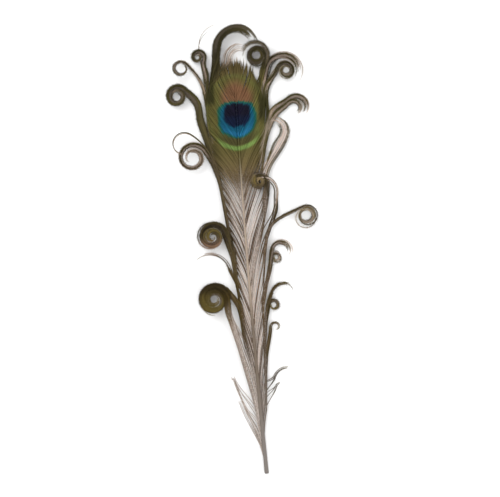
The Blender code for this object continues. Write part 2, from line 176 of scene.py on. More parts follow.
BUNDLES = (
    Bundle("left_quill_wisp", -1, (9, 13), ((-8.4, 23),),
           (-24.2, 42.3), 12.0, 13, 1, 0.03, 0.9,
           1.6, 1.2, 2, 1, 6, 0.9),
    Bundle("left_low_wisp", -1, (14, 26), ((-9.5, 42),),
           (-27.1, 56.9), 12.0, 15, 1, 0.03, 0.9,
           1.6, 1.2, 2, 1, 8, 0.9),
    Bundle("great_roll_outer", -1, (22, 48), ((-8.6, 75), (-12.4, 92)),
           (-24, 111), 8.8, -12, 1, 0.9, 0.6,
           3.2, 1.6, 12, 1, 26, 0.0, 6.4),
    Bundle("great_roll", -1, (45, 84), ((-6.0, 90), (-8.8, 107)),
           (-24, 111), 9.0, 42, 1, 1.7, 0.24,
           3.0, 1.8, 12, 3, 48, 0.25),
    Bundle("long_barb", -1, (76, 82), ((-9.2, 118),),
           (-25.3, 127), 13.4, 13, 1, 0.35, 0.95,
           0.5, 1.1, 3, 1, 3, 0.2),
    Bundle("middle_roll", -1, (80, 118), ((-8.2, 126), (-10.2, 140)),
           (-21.6, 150), 8.2, 15, 1, 1.6, 0.22,
           3.0, 1.9, 16, 3, 44, 0.1),
    Bundle("ring_curl", -1, (112, 148), ((-12.4, 170), (-15.8, 190)),
           (-30, 200), 8.8, 32, 1, 1.35, 0.42,
           2.4, 1.5, -14, 2, 26, 0.75),
    Bundle("ring_loop", -1, (140, 148), ((-15.4, 188), (-20.0, 203)),
           (-34.3, 208.8), 7.4, 55, 1, 0.75, 0.85,
           0.7, 1.1, -14, 1, 2, 0.6, 4.0),
    Bundle("cheek_scroll", -1, (146, 184), ((-19.4, 208), (-23.2, 222), (-24.8, 234)),
           (-36.7, 239), 5.9, 42, 1, 1.15, 0.5,
           3.6, 1.9, 10, 3, 40, 0.3),
    Bundle("left_brow_loop", -1, (180, 192), ((-18.8, 232), (-21.4, 247)),
           (-32.8, 256), 4.7, 40, 1, 1.05, 0.7,
           1.4, 1.2, -20, 2, 10, 0.8),
    Bundle("left_brow_roll", -1, (188, 202), ((-16.6, 240), (-17.8, 251)),
           (-21.9, 262.6), 4.4, -25, 1, 1.4, 0.25,
           2.2, 1.7, 12, 2, 24, 0.95),
    Bundle("crown_stray", -1, (196, 202), ((-17.0, 238), (-20.0, 255)),
           (-8.5, 268), 12.6, 178, -1, 0.27, 0.95,
           0.5, 1.1, -14, 1, 2, 0.4),
    Bundle("crown_arch", -1, (198, 218), ((-13.2, 236), (-11.4, 251)),
           (2.4, 266.4), 12.0, 172, -1, 0.43, 0.92,
           5.6, 1.9, -24, 4, 48, 0.1),
    Bundle("crown_wisp", -1, (212, 222), ((-3.2, 247),),
           (4.4, 259.6), 7.6, 178, -1, 0.32, 0.9,
           8.0, 1.2, -20, 1, 15, 0.8),
    Bundle("right_quill_wisp", 1, (24, 34), ((5.2, 42),),
           (18, 51.3), 8.0, 160, -1, 0.08, 0.8,
           1.0, 1.2, 2, 1, 3, 0.1),
    Bundle("elbow_strand", 1, (32, 42), ((5.2, 50),),
           (18.5, 56.4), 9.2, 158, -1, 0.24, 0.9,
           0.8, 1.2, 2, 1, 3, 0.1),
    Bundle("low_curl", 1, (22, 36), ((5.4, 72),),
           (12.9, 91), 3.0, 175, -1, 0.8, 0.5,
           1.4, 1.2, 18, 1, 6, 0.2),
    Bundle("edge_curl", 1, (30, 52), ((4.8, 75), (7.2, 96)),
           (13.0, 104.4), 3.5, 165, -1, 0.95, 0.5,
           1.4, 1.2, 20, 1, 9, 0.2),
    Bundle("edge_arch", 1, (44, 58), ((5.6, 88), (8.6, 103)),
           (20.4, 110), 8.6, 160, -1, 0.3, 0.9,
           1.2, 1.3, -10, 1, 7, 0.1),
    Bundle("hook_inner", 1, (54, 68), ((6.4, 108), (10.8, 124)),
           (16.8, 134.4), 2.9, 165, -1, 1.1, 0.5,
           1.2, 1.2, 12, 1, 9, 0.6),
    Bundle("hook", 1, (60, 84), ((6.2, 108), (12.0, 126)),
           (20.0, 138.4), 5.4, 165, -1, 0.52, 0.85,
           2.0, 1.5, 12, 2, 14, 0.8),
    Bundle("reaching_curl", 1, (84, 98), ((10.6, 141), (16.0, 155)),
           (37.3, 159), 5.8, 115, -1, 1.25, 0.5,
           1.6, 1.3, 14, 2, 11, 0.45),
    Bundle("chin_arch", 1, (96, 108), ((13.4, 151), (18.6, 163)),
           (10.8, 176.5), 9.7, -12, 1, 0.42, 0.7,
           2.2, 1.2, -18, 1, 6, 0.9),
    Bundle("chin_roll", 1, (106, 140), ((9.8, 158), (13.4, 171)),
           (10, 182.4), 5.0, -8, 1, 1.4, 0.28,
           2.2, 1.8, -20, 3, 40, 0.15),
    Bundle("stray_strand", 1, (136, 154), ((14.2, 189), (23.6, 203)),
           (21.4, 213.4), 7.4, -15, 1, 0.3, 0.9,
           6.4, 1.3, -8, 1, 14, 1.0),
    Bundle("cheek_hook_inner", 1, (152, 166), ((15.8, 207), (23.0, 222)),
           (35.5, 226), 4.8, 132, -1, 0.5, 0.7,
           2.2, 1.4, 12, 2, 16, 0.85),
    Bundle("cheek_hook", 1, (164, 180), ((15.4, 208), (21.8, 225)),
           (38, 226.5), 7.6, 130, -1, 0.42, 0.7,
           2.6, 1.5, 10, 2, 20, 0.7),
    Bundle("right_brow_crook_inner", 1, (178, 190), ((17.8, 222), (19.4, 240)),
           (32.2, 250.2), 5.2, 160, -1, 1.25, 0.35,
           2.4, 1.5, 16, 2, 20, 0.8),
    Bundle("right_brow_crook", 1, (188, 202), ((16.6, 222), (17.6, 240)),
           (30.4, 249.2), 10.6, 165, -1, 0.52, 0.9,
           3.0, 1.5, -14, 2, 24, 0.95),
    Bundle("crown_scroll", 1, (200, 214), ((13.8, 237), (17.4, 250)),
           (15.0, 260.2), 5.9, -5, 1, 1.2, 0.48,
           2.6, 1.9, 14, 3, 30, 0.15),
    Bundle("crown_tail", 1, (208, 216), ((14.2, 237), (18.4, 250)),
           (13.6, 260.3), 8.4, -5, 1, 0.48, 0.95,
           1.2, 1.2, 16, 1, 8, 0.15, 4.5),
)

# Bundles whose free stems stay pale and soft down to their curl.
SOFT_STEMS = ("great_roll_outer", "left_quill_wisp", "left_low_wisp")

# Bundles without a dark barb at their rim, that is, without the painted shade along their edges.
ALL_PALE = ("crown_wisp",)

# Bundles that are pale between the web and their curl.
PALE_STEMS = (
    "left_brow_loop", "left_brow_roll", "right_brow_crook_inner", "right_brow_crook",
    "cheek_hook_inner", "cheek_hook",
)

# Bundles that turn pale inside the web already, and the height where they do.
PALE_FROM = {"crown_wisp": 254.0, "stray_strand": 181.0}

# The share of a bundle's barbs that are pale inside the web, where it isn't the usual one.
PALE_SHARE = {"reaching_curl": 0.8, "chin_arch": 0.85, "chin_roll": 0.78, "stray_strand": 0.9}

# Bundles whose barbs are thicker, and by how much.
THICKER = {"ring_loop": 0.14}

# How far across the web a bundle starts to turn brown, where it isn't the usual place.
BROWN_FROM = {"great_roll": 0.25}

# The ovals of the eye: centre and half sizes.
GREEN_RING = ((-0.8, 226.6), (19.0, 23.9))
BRONZE_DOME = ((0.3, 232), (12.0, 16.0))
BLUE_DISC = ((-0.4, 221.5), (11.6, 11.0))
PUPIL = ((-0.2, 224.4), (8.3, 7.2))
PUPIL_NOTCH = ((2.0, 214.6), (3.2, 3.2))

# The picture, in metres, degrees and millimetres of film.
CAMERA_HEIGHT = 0.74
CAMERA_TURN = -4.66
LENS = 85
FILM_WIDTH = 36
FLOOR_HALF = 3.0
SKY_STRENGTH = 0.9

rng = np.random.default_rng(SEED)


def mix(a, b, share):
    return a + (b - a) * share


def ramp(value, start, end):
    """0 at start and 1 at end, straight between them and level beyond. start may be over end."""
    return np.clip((value - start) / (end - start), 0, 1)


def smooth(share):
    return share * share * (3 - 2 * share)


def along(profile, y):
    """The value at y of a list of (y, value) points, by smooth steps between them."""
    for (y0, a), (y1, b) in zip(profile, profile[1:]):
        if y <= y1:
            return mix(a, b, smooth(max(0.0, (y - y0) / (y1 - y0))))
    return profile[-1][1]


def straight(profile, y):
    """The value at y of a list of (y, value) points, by straight lines between them."""
    return float(np.interp(y, *zip(*profile)))


def turned(angle_deg):
    angle = math.radians(angle_deg)
    return np.array((math.cos(angle), math.sin(angle)))


def unit(vector):
    return vector / np.linalg.norm(vector)


def unit_rows(vectors):
    return vectors / np.maximum(np.linalg.norm(vectors, axis=1), 1e-6)[:, None]


def gaps_of(points):
    return np.linalg.norm(np.diff(points, axis=0), axis=1)


def running(gaps):
    return np.concatenate(([0], np.cumsum(gaps)))


def at_lengths(points, lengths, want):
    """The places along a row of points at the wanted lengths. lengths are those of the points."""
    return np.column_stack([np.interp(want, lengths, points[:, axis]) for axis in range(3)])


def shaft_radius(y):
    return mix(SHAFT_RADIUS_BASE, SHAFT_RADIUS_TIP, min(max(y / SHAFT_LENGTH, 0.0), 1.0))


def shaft_centre(y):
    share = min(max(y / SHAFT_LENGTH, 0.0), 1.05)
    x = -SHAFT_BOW * math.sin(math.pi * share)
    z = mix(SHAFT_RADIUS_BASE, SHAFT_TIP_HEIGHT, share) + SHAFT_ARCH * math.sin(math.pi * share)
    return np.array((x, y, z))


def in_shaft(side, y, share):
    """x of the point at a share of the shaft's radius from its middle."""
    return shaft_centre(y)[0] + side * shaft_radius(y) * share


def web_edge(side, y):
    return along(WEB_EDGE[side], min(y, WEB_END))


def web_height(side, x, y):
    """The web's height at x, y, or at its nearest point where x, y is off the web."""
    centre = shaft_centre(min(y, WEB_END))
    x = side * min(abs(x), web_edge(side, y))
    return centre[2] - WEB_DROOP * ((x - centre[0]) / WEB_REACH) ** 2


def place_of_frame():
    """What to add to a point of the tables, in millimetres, to get its place in the frame."""
    points = np.array([v.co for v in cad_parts["shaft"].data.vertices]) / MM
    ring = points[points[:, 1] < points[:, 1].min() + 1.0]
    middle = (ring.min(axis=0) + ring.max(axis=0)) / 2
    return middle - np.array((0.0, 0.0, SHAFT_RADIUS_BASE))


SHIFT = place_of_frame()


def hermite_path(knots, directions, steps):
    """Smooth points through the knots. Each row of directions is a unit tangent."""
    t = np.arange(steps)[:, None] / steps
    pieces = []
    for p0, p1, d0, d1 in zip(knots, knots[1:], directions, directions[1:]):
        span = np.linalg.norm(p1 - p0)
        pieces.append(
            p0 * (2 * t**3 - 3 * t**2 + 1)
            + d0 * span * (t**3 - 2 * t**2 + t)
            + p1 * (3 * t**2 - 2 * t**3)
            + d1 * span * (t**3 - t**2)
        )
    pieces.append(knots[-1][None, :])
    return np.concatenate(pieces)


def field_point(side, s, q):
    """A point in the web on the barb that grows from height s.

    q is 0 at the shaft and 1 at the web's edge.
    """
    y = s + (straight(JOINS[side], s) - s) * q**FIELD_BEND
    return np.array((mix(in_shaft(side, y, 0.6), side * web_edge(side, y), q), y))


def strand_of(s):
    """Below the eye, barbs draw together into strands. This is the middle of the strand at s."""
    middle = (math.floor(s / STRAND) + 0.5) * STRAND
    return middle + STRAND_SHIFT * math.sin(middle * 1.7)


def loose_web(y):
    """1 where the web below the eye is so loose that the ground shows between its strands."""
    return (0.6 * ramp(y, 36, 56) + 0.4 * ramp(y, 90, 110)) * ramp(y, EYE_LOW, 160)


def stem_knots(b, root, s, entry, leave, across, shift):
    """The points that a barb passes from its root to its curl, and its direction at each."""
    knots = [root] + [field_point(b.side, s, q) for q in WEB_STOPS]
    held = len(knots)
    joins = straight(JOINS[b.side], s)
    knots += [np.array(v, float) for v in b.via if v[1] > joins + 5] + [entry]
    directions = [unit(knots[1] - root)]
    for before, after in zip(knots, knots[2:]):
        directions.append(unit(after - before))
    directions.append(leave)
    for index in range(held, len(knots) - 1):
        right = np.array((directions[index][1], -directions[index][0]))
        knots[index] = knots[index] - right * b.side * across * b.width * 1.05 + shift
    return knots, directions


def spiral_plane(b, across):
    """The height of a barb's spiral at its centre, and its slope towards the entry."""
    pile = (b.count - 1) * (b.thick + STACK_GAP)
    half = (pile + b.thick) / 2
    slope = math.sin(math.radians(abs(b.pitch)))
    lowest = half if b.pitch > 0 else max(VIA_HEIGHT, half)
    middle = lowest + b.radius * slope + (b.level + (pile + b.thick * 0.5) * across)
    return middle, slope if b.pitch > 0 else -slope


def barb_path(b, share, jitter):
    """One barb of a bundle, from the shaft to its tip. share is its place in the bundle, 0 to 1.

    Returns points in millimetres, and the gather of each: 0 in the web, more at its brown edge, 1
    where the curl starts and 2 at the tip.
    """
    across = share - 0.5
    root_y = mix(b.roots[0], b.roots[1], share)
    tight = STRAND_TIGHT * (1 - ramp(root_y, *STRANDS_END)) * ramp(root_y, *STRANDS_START)
    s = mix(root_y, strand_of(root_y), tight) + jitter["field"]
    radius = b.radius * jitter["radius"] - b.side * b.spin * across * b.width * 0.8
    centre = np.array(b.centre, float) + jitter["centre"]
    entry_deg = b.entry + jitter["entry"]
    entry = centre + turned(entry_deg) * radius
    leave = turned(entry_deg + 90 * b.spin)
    root = np.array((in_shaft(b.side, root_y, 0.7), root_y))
    knots, directions = stem_knots(b, root, s, entry, leave, across, jitter["via"])
    stem = hermite_path(knots, directions, STEM_STEPS)
    turns = b.turns * jitter["turns"]
    steps = max(10, int(round(turns * CURL_STEPS)))
    done = np.arange(1, steps + 1)[:, None] / steps
    angles = np.radians(entry_deg + b.spin * 360 * turns * done)
    arms = np.concatenate((np.cos(angles), np.sin(angles)), axis=1)
    curl = centre + arms * (radius * mix(1.0, b.close * jitter["close"], done))

    middle, slope = spiral_plane(b, across)
    uphill = turned(b.entry)
    tip = middle + slope * ((curl - centre) @ uphill) + SPIRAL_RISE * turns * done[:, 0]
    entry_z = middle + slope * ((entry - centre) @ uphill)
    edges = np.array([web_edge(b.side, y) for y in stem[:, 1]])
    inside = np.nonzero((np.abs(stem[:, 0]) < edges) & (stem[:, 1] < WEB_END - 2))[0]
    leaves = inside[-1] if len(inside) else 0
    lengths = running(gaps_of(stem))
    free = np.clip((lengths - lengths[leaves]) / max(lengths[-1] - lengths[leaves], 0.01), 0, 1)
    ease = smooth(free)
    base = np.array([web_height(b.side, x, y) for x, y in stem])
    z = np.concatenate((mix(base + jitter["lift"], entry_z, ease), tip))
    points = np.column_stack((np.concatenate((stem, curl)), np.maximum(z, FLOOR_GAP)))

    stops = (0, *WEB_STOPS)
    across_web = np.interp(np.arange(len(stem)) / STEM_STEPS, np.arange(len(stops)), stops)
    brown = ramp(across_web, BROWN_FROM.get(b.name, USUAL_BROWN_FROM), BROWN_FULL)
    gather = np.maximum(ease, BROWN_AT_EDGE[b.side] * brown)
    return points, np.concatenate((gather, 1 + done[:, 0]))


def resampled(points, gather, dense=0.0):
    """The points again at even steps, with their gather. dense shortens the steps in the curl."""
    lengths = running(gaps_of(points) * (1 + dense * np.minimum(gather[1:], 1)))
    count = max(6, int(round(lengths[-1] / BARB_STEP)))
    want = np.linspace(0, lengths[-1], count + 1)
    return at_lengths(points, lengths, want), np.interp(want, lengths, gather)


class Mesh:
    """Collects closed ribbons and spikes, and makes one mesh object of them.

    Its points have four values that the material reads:
    - tone: how light their barb is, around 0
    - gather: how far the barb has left the web there, 0 to 2
    - fuzz: 1 on a barbule and 0 on a barb
    - pale: how pale they are, 0 to 1
    """

    def __init__(self):
        self.verts = []
        self.faces = []
        self.values = {"tone": [], "gather": [], "fuzz": [], "pale": []}
        self.total = 0

    def add(self, verts, faces, **values):
        self.verts.append(verts)
        self.faces.append(faces + self.total)
        for label, rows in self.values.items():
            rows.append(np.broadcast_to(np.asarray(values[label], float), len(verts)))
        self.total += len(verts)

    def ribbon(self, points, half_widths, half_thick, tone, gather, pale):
        """A closed strip with a diamond section, drawn to a point at both ends."""
        ahead = unit_rows(np.gradient(points, axis=0))
        beside = unit_rows(np.cross(ahead, UP))
        above = np.cross(beside, ahead)
        inner = slice(1, len(points) - 1)
        w = half_widths[inner, None]
        h = half_thick[inner, None]
        p, s, u = points[inner], beside[inner], above[inner]
        rings = np.stack((p + s * w, p + u * h, p - s * w, p - u * h), axis=1)
        n = len(p)
        verts = np.concatenate((points[:1], rings.reshape(-1, 3), points[-1:]))
        k = np.arange(n - 1)[:, None] * 4 + 1
        corner = np.arange(4)
        following = (corner + 1) % 4
        quads_a = np.stack((k + corner, k + following, k + 4 + following), axis=2).reshape(-1, 3)
        quads_b = np.stack((k + corner, k + 4 + following, k + 4 + corner), axis=2).reshape(-1, 3)
        first = np.stack((np.zeros(4, int), 1 + following, 1 + corner), axis=1)
        end = 1 + (n - 1) * 4
        last = np.stack((np.full(4, end + 4), end + corner, end + following), axis=1)
        faces = np.concatenate((first, quads_a, quads_b, last))
        gather, pale = [
            np.concatenate((values[:1], np.repeat(values[inner], 4), values[-1:]))
            for values in (gather, pale)
        ]
        self.add(verts, faces, tone=tone, gather=gather, fuzz=0, pale=pale)

    def spikes(self, roots, tips, widths, tone, gather, pale):
        """Small closed three-sided spikes, one from each root to its tip."""
        beside = unit_rows(np.cross(tips - roots, UP))
        w = widths[:, None]
        corners = (roots + beside * w, roots - beside * w, roots + UP * w * 0.8, tips)
        verts = np.stack(corners, axis=1).reshape(-1, 3)
        k = np.arange(len(roots))[:, None] * 4
        faces = (k + np.array((0, 2, 1, 0, 1, 3, 1, 2, 3, 2, 0, 3))).reshape(-1, 3)
        tone, gather, pale = [np.repeat(values, 4) for values in (tone, gather, pale)]
        self.add(verts, faces, tone=tone, gather=gather, fuzz=1, pale=pale)

    def triangles(self):
        return sum(len(f) for f in self.faces)

    def build(self, name, material):
        verts = (np.concatenate(self.verts) + SHIFT) * MM
        faces = np.concatenate(self.faces)
        mesh = bpy.data.meshes.new(name)
        mesh.vertices.add(len(verts))
        mesh.vertices.foreach_set("co", verts.astype(np.float32).ravel())
        mesh.loops.add(faces.size)
        mesh.loops.foreach_set("vertex_index", faces.astype(np.int32).ravel())
        mesh.polygons.add(len(faces))
        mesh.polygons.foreach_set("loop_start", np.arange(0, faces.size, 3, dtype=np.int32))
        mesh.update(calc_edges=True)
        for label, rows in self.values.items():
            layer = mesh.attributes.new(label, "FLOAT", "POINT")
            layer.data.foreach_set("value", np.concatenate(rows).astype(np.float32))
        mesh.materials.append(material)
        obj = bpy.data.objects.new(name, mesh)
        bpy.context.scene.collection.objects.link(obj)
        return obj


def new_jitter(loose):
    """Seeded differences of one barb from the middle of its bundle. loose is 0 to 1 and more."""
    some = 0.5 + loose
    more = 0.6 + loose
    return {
        "field": rng.normal(0, 0.35),
        "radius": 1.0 + rng.normal(0, 0.03) * more,
        "centre": rng.normal(0, 0.28, 2) * some,
        "entry": rng.normal(0, 3.0) * some,
        "turns": min(max(1.0 + rng.normal(0, 0.12) * more, 0.35), 1.25),
        "close": 1.0 + rng.normal(0, 0.08) * more,
        "via": rng.normal(0, 0.22, 2) * more,
        "lift": rng.normal(0, 0.16),
    }


def barbule_fringe(mesh, points, gather, tone, pale, size, short_in_web):
    """Barbules on both sides of a barb. They are longer and closer together in a curl.

    size is their length and the space between them.
    """
    length, spacing = size
    gaps = gaps_of(points)
    lengths = running(gaps)
    if lengths[-1] < 4 * spacing:
        return
    crowd = running(gaps * (1 + 0.9 * np.minimum(gather[1:], 1)))
    count = int(crowd[-1] / spacing)
    want = np.linspace(spacing, crowd[-1] - 0.3, count)
    want = want + rng.uniform(-0.4, 0.4, count) * spacing
    want = np.clip(np.interp(want, crowd, lengths), 0.1, lengths[-1] - 0.05)
    at = at_lengths(points, lengths, want)
    soon = at_lengths(points, lengths, np.minimum(want + 0.4, lengths[-1]))
    ahead = unit_rows(soon - at)
    beside = unit_rows(np.cross(ahead, UP))
    g = np.interp(want, lengths, gather)
    light = np.interp(want, lengths, pale)
    reach = np.interp(want, lengths, np.linspace(0, 1, len(points)))
    out_there = np.minimum(g, 1)
    fade = np.clip((1.02 - reach) * 9, 0.25, 1.0) * (1 + 0.35 * out_there)
    if short_in_web:
        short = (g <= SHORT_BARBULES_GATHER) & (at[:, 1] < SHORT_BARBULES_END)
        fade *= np.where(short, 0.6, 1.0)
    widths = SPIKE_WIDTH * (1 + 0.5 * out_there)
    share = 1 - 0.66 * (g < 0.4) * loose_web(at[:, 1])
    for side in (-1, 1):
        slant = np.radians(FRINGE_DEG + rng.normal(0, 7, count))[:, None]
        long = (length * fade * rng.uniform(0.7, 1.15, count))[:, None]
        lift = rng.normal(0.02, 0.12, count)[:, None]
        way = ahead * np.cos(slant) + beside * side * np.sin(slant)
        tips = at + way * long + UP * lift * long
        tips[:, 2] = np.maximum(tips[:, 2], 0.05)
        tones = tone + rng.normal(0, 0.05, count)
        kept = rng.random(count) < share
        if kept.any():
            mesh.spikes(at[kept], tips[kept], widths[kept], tones[kept], g[kept], light[kept])


def root_taper(reach):
    """Barbs are thinner right at the shaft. reach is 0 there and 1 at the tip."""
    return np.clip(reach * 40, 0.4, 1.0)


def pale_stretch(b, points, gather):
    """How far a barb of the bundle is on its pale stretch, 0 to 1 at each point."""
    if b.name in PALE_FROM:
        return ramp(points[:, 1], PALE_FROM[b.name], PALE_FROM[b.name] + 5)
    if b.name in PALE_STEMS:
        start = 0.52 if b.side < 0 else 0.3
        least = 0.85 if b.turns < 0.9 else 0.45
        return np.clip((gather - start) * 5, 0, 1) * np.clip(1.7 - gather, least, 1)
    return np.clip(gather * 2.5 - 1.5, 0, 1)


def add_bundle(mesh, b):
    """All barbs of a bundle, with their barbules."""
    soft = b.name in SOFT_STEMS
    all_pale = b.name in ALL_PALE
    thin = HALF_WIDTH_OF_FEW if b.barbs < SMALL_BUNDLE else HALF_WIDTH
    thin += THICKER.get(b.name, 0.0)
    widen = 1.0 if b.side < 0 else 0.5
    for index in range(b.barbs):
        share = (index + 0.5 + rng.uniform(-0.35, 0.35)) / b.barbs
        stray = rng.random() < STRAY_SHARE and b.barbs > FEW_BARBS
        jitter = new_jitter(STRAY_LOOSE if stray else rng.uniform(0.0, 0.7))
        points, gather = barb_path(b, share, jitter)
        cut = 1.0 - abs(rng.normal(0, 0.04))
        kept = max(12, int(len(points) * cut))
        points, gather = resampled(points[:kept], gather[:kept], CURL_DENSE)
        if soft:
            gather = np.where(gather < 1, gather**5, gather) if b.turns > 0.1 else gather * 0.04
        far_out = np.minimum(gather, 1)
        reach = np.linspace(0, 1, len(points))
        eye = ramp(points[:, 1], EYE_LOW, EYE_FULL) * (1 - far_out)
        body = thin + EYE_WIDTH * eye + CURL_WIDTH * far_out
        body *= np.clip(1.3 - reach, 0.3, 1.0)
        body *= root_taper(reach)
        tone = rng.normal(0, 1)

        # The barbs in the middle of a bundle are pale out there, and those at its rims stay dark:
        # painted shade along the edges of each bundle.
        inner = np.clip((share - 0.2) * 6, 0, 1) * np.clip((0.93 - share) * 9, 0, 1)
        if all_pale:
            inner = 1.0
        out_there = pale_stretch(b, points, gather)
        barb_pale = out_there * b.pale * (rng.random() < PALE_CHANCE * inner)
        body *= 1 + 0.7 * (1 - inner) * far_out

        # In the loose web, broad dark barbs lie between thin pale ones. All broaden at its edge.
        loose = loose_web(points[:, 1])
        airy = loose * np.clip(1 - gather * 3, 0, 1)
        edge = loose * np.clip(gather * 4 - 1, 0, 1) * (gather < 1)
        if not soft and rng.random() < PALE_SHARE.get(b.name, USUAL_PALE_SHARE):
            barb_pale = np.maximum(barb_pale, airy)
            body *= 1 - 0.35 * airy + widen * edge
        else:
            body *= 1 + airy + 1.5 * widen * edge
        if soft:
            out_there = 1 - far_out
            inner = 0.85
            barb_pale = 0.4 * out_there
        mesh.ribbon(points, body, np.minimum(body * 0.5, THICKEST), tone, gather, barb_pale)
        fuzz_pale = out_there * (1 if soft else b.pale) * inner
        size = FEW_FRINGE
        if b.barbs > FEW_BARBS:
            size = (LOCK_FRINGE[0] - 0.6 * b.pale * inner, LOCK_FRINGE[1])
        if all_pale:
            size = WISP_FRINGE
        barbule_fringe(mesh, points, gather, tone, fuzz_pale, size, not soft)


def fill_end(side, s):
    """How far across the web its own barbs go. Low down, the rim is left to the bundles."""
    if s >= 160:
        return 1.0
    if side > 0:
        return 0.88
    return 0.7 if s < 116 else 0.94


def fill_path(side, s):
    """A barb that ends in the web. Close to the shaft's tip they stand up side by side."""
    if s < FAN_START:
        end = fill_end(side, s) + rng.normal(0, 0.03)
        flat = np.array([field_point(side, s, q) for q in np.linspace(0.0, end, 18)])
    else:
        # From the lowest to the highest of these, the tips move up and in to the shaft's line.
        share = (s - FAN_START) / (SHAFT_LENGTH - FAN_START)
        root = np.array((in_shaft(side, s, 0.6), s))
        tip = np.array((side * mix(12.5, 0.2, share), mix(254.5, 261.0, share**0.8)))
        rise = turned(90 - side * mix(30, 4, share))
        tip = tip + rng.normal(0, 0.5, 2) + np.array((0.0, rng.normal(-1.0, 2.0)))
        flat = hermite_path([root, tip], [rise, turned(90 - side * 3)], 16)
    keep = flat[:, 1] < CROWN_TOP + rng.normal(0, 0.8)
    last = np.argmin(keep) if not keep.all() else len(flat)
    return flat[: max(last, 4)]


def add_fill(mesh, side):
    """The web's own barbs, between those that go on into a curl. They close it at the eye."""
    heights = np.concatenate((
        np.arange(FILL_START, LOOSE_END, 3.0 * FILL_STEP),
        np.arange(LOOSE_END, FAN_START, FILL_STEP),
        np.arange(FILL_DOUBLED, FAN_START, FILL_STEP),
        np.arange(FAN_START, SHAFT_LENGTH, 0.6 * FILL_STEP),
    ))
    for height in heights:
        loose = height < LOOSE_END
        flat = fill_path(side, height + rng.uniform(-0.3, 0.3))
        lift = rng.normal(-0.1, 0.12) - 0.3 * loose
        z = [web_height(side, x, y) + lift for x, y in flat]
        points, _ = resampled(np.column_stack((flat, z)), np.zeros(len(flat)))
        reach = np.linspace(0, 1, len(points))
        eye = ramp(points[:, 1], EYE_LOW, EYE_FULL)
        body = FILL_HALF_WIDTH + FILL_EYE_WIDTH * eye
        body *= np.clip((1.02 - reach) * 3.2, 0.15, 1.0)
        body *= root_taper(reach)
        tone = rng.normal(0, 0.8)
        # Their outer halves form a dark brown band along the web's left edge.
        brown = (side < 0) * np.clip((reach - 0.5) * 3, 0, 1)
        brown = brown * ramp(height, 104, 120) * ramp(height, 190, 170)
        gather = 0.46 * brown
        body *= 1 + 1.4 * brown
        pale = ramp(points[:, 1], 184, 160) * (1 - 0.9 * brown)
        pale += np.clip((points[:, 1] - 255.5) / 5, 0, 0.85)
        mesh.ribbon(points, body, np.minimum(body * 0.4, THICKEST), tone, gather, pale)
        size = LOOSE_FRINGE if loose else EYE_FRINGE
        barbule_fringe(mesh, points, gather, tone, pale, size, False)


def make_quill():
    """The shaft: a smooth tapering stem, cut off square and hollow at its lower end."""
    angles = np.arange(QUILL_SIDES) * 2 * math.pi / QUILL_SIDES

    def ring(y, radius, flatter=1.0, dent=1.0):
        centre = shaft_centre(y)
        return np.column_stack((
            centre[0] + radius * np.cos(angles),
            np.full(QUILL_SIDES, y),
            centre[2] + radius * flatter * np.sin(angles) * dent,
        ))

    # First the bore, then the outside. The rings are closer together near the cut end.
    rings = [ring(y, shaft_radius(y) * BORE_SHARE) for y in (BORE_DEPTH, 0.0)]
    for y in np.concatenate((np.linspace(0, 12, 13), np.linspace(15, SHAFT_LENGTH, 78))):
        groove = ramp(y, 10, 40) * GROOVE_DEPTH
        flatter = mix(1.0, FLATTEST, ramp(y, 0, 80))
        dent = 1 - groove * np.exp(-((np.sin(angles) - 1) / GROOVE_WIDTH) ** 2)
        rings.append(ring(y, shaft_radius(y), flatter, dent))
    tip = shaft_centre(SHAFT_LENGTH) + (0, TIP_POINT, 0)
    verts = np.concatenate(rings + [[shaft_centre(BORE_DEPTH)], [tip]])
    verts[:, 2] = np.maximum(verts[:, 2], 0.0)
    faces = []
    for start in range(0, (len(rings) - 1) * QUILL_SIDES, QUILL_SIDES):
        for k in range(QUILL_SIDES):
            a = start + k
            c = start + (k + 1) % QUILL_SIDES
            faces.append((a, c, c + QUILL_SIDES, a + QUILL_SIDES))
    last = (len(rings) - 1) * QUILL_SIDES
    bore_end = last + QUILL_SIDES
    point = bore_end + 1
    faces += [(bore_end, (k + 1) % QUILL_SIDES, k) for k in range(QUILL_SIDES)]
    faces += [(point, last + k, last + (k + 1) % QUILL_SIDES) for k in range(QUILL_SIDES)]
    mesh = bpy.data.meshes.new("quill")
    mesh.from_pydata(((verts + SHIFT) * MM).tolist(), [], faces)
    mesh.shade_smooth()
    obj = bpy.data.objects.new("quill", mesh)
    bpy.context.scene.collection.objects.link(obj)
    return obj


def srgb(r, g, b):
    """Linear values of a colour given in 0 to 255, with alpha."""
    out = []
    for value in (r, g, b):
        c = value / 255
        out.append(c / 12.92 if c <= 0.04045 else ((c + 0.055) / 1.055) ** 2.4)
    return (*out, 1.0)


def grey(value):
    return (value, value, value, 1.0)


# The web: barbs and their fringe at the quill and below the eye, then the barbs towards the eye.
STRAND_LOW, STRAND_HIGH = srgb(114, 104, 96), srgb(84, 66, 50)
FRINGE_LOW, FRINGE_HIGH = srgb(226, 218, 212), srgb(252, 236, 225)
WEB_BROWN, WEB_OLIVE = srgb(108, 92, 60), srgb(88, 80, 42)

# The curls, from the quill up, their tips, a painted reddish highlight on one roll, painted shade
# on the crest of another, and one roll with a colour of its own.
CURL_QUILL = srgb(92, 84, 74)
CURL_LOW, CURL_MIDDLE = srgb(70, 56, 22), srgb(62, 52, 28)
CURL_CHEEK, CURL_CROWN = srgb(68, 62, 28), srgb(56, 50, 26)
TIP_LOW, TIP_MIDDLE, TIP_LEFT = srgb(112, 98, 50), srgb(150, 130, 92), srgb(134, 116, 96)
TIP_CROWN = srgb(82, 74, 42)
# A painted reddish highlight for the middle roll, and painted near-black shade for the great
# roll's crest.
MIDDLE_ROLL_RED_HIGHLIGHT, GREAT_ROLL_CREST_SHADE = srgb(134, 104, 84), srgb(48, 38, 20)
CHIN_ROLL_GOLD = srgb(118, 102, 58)

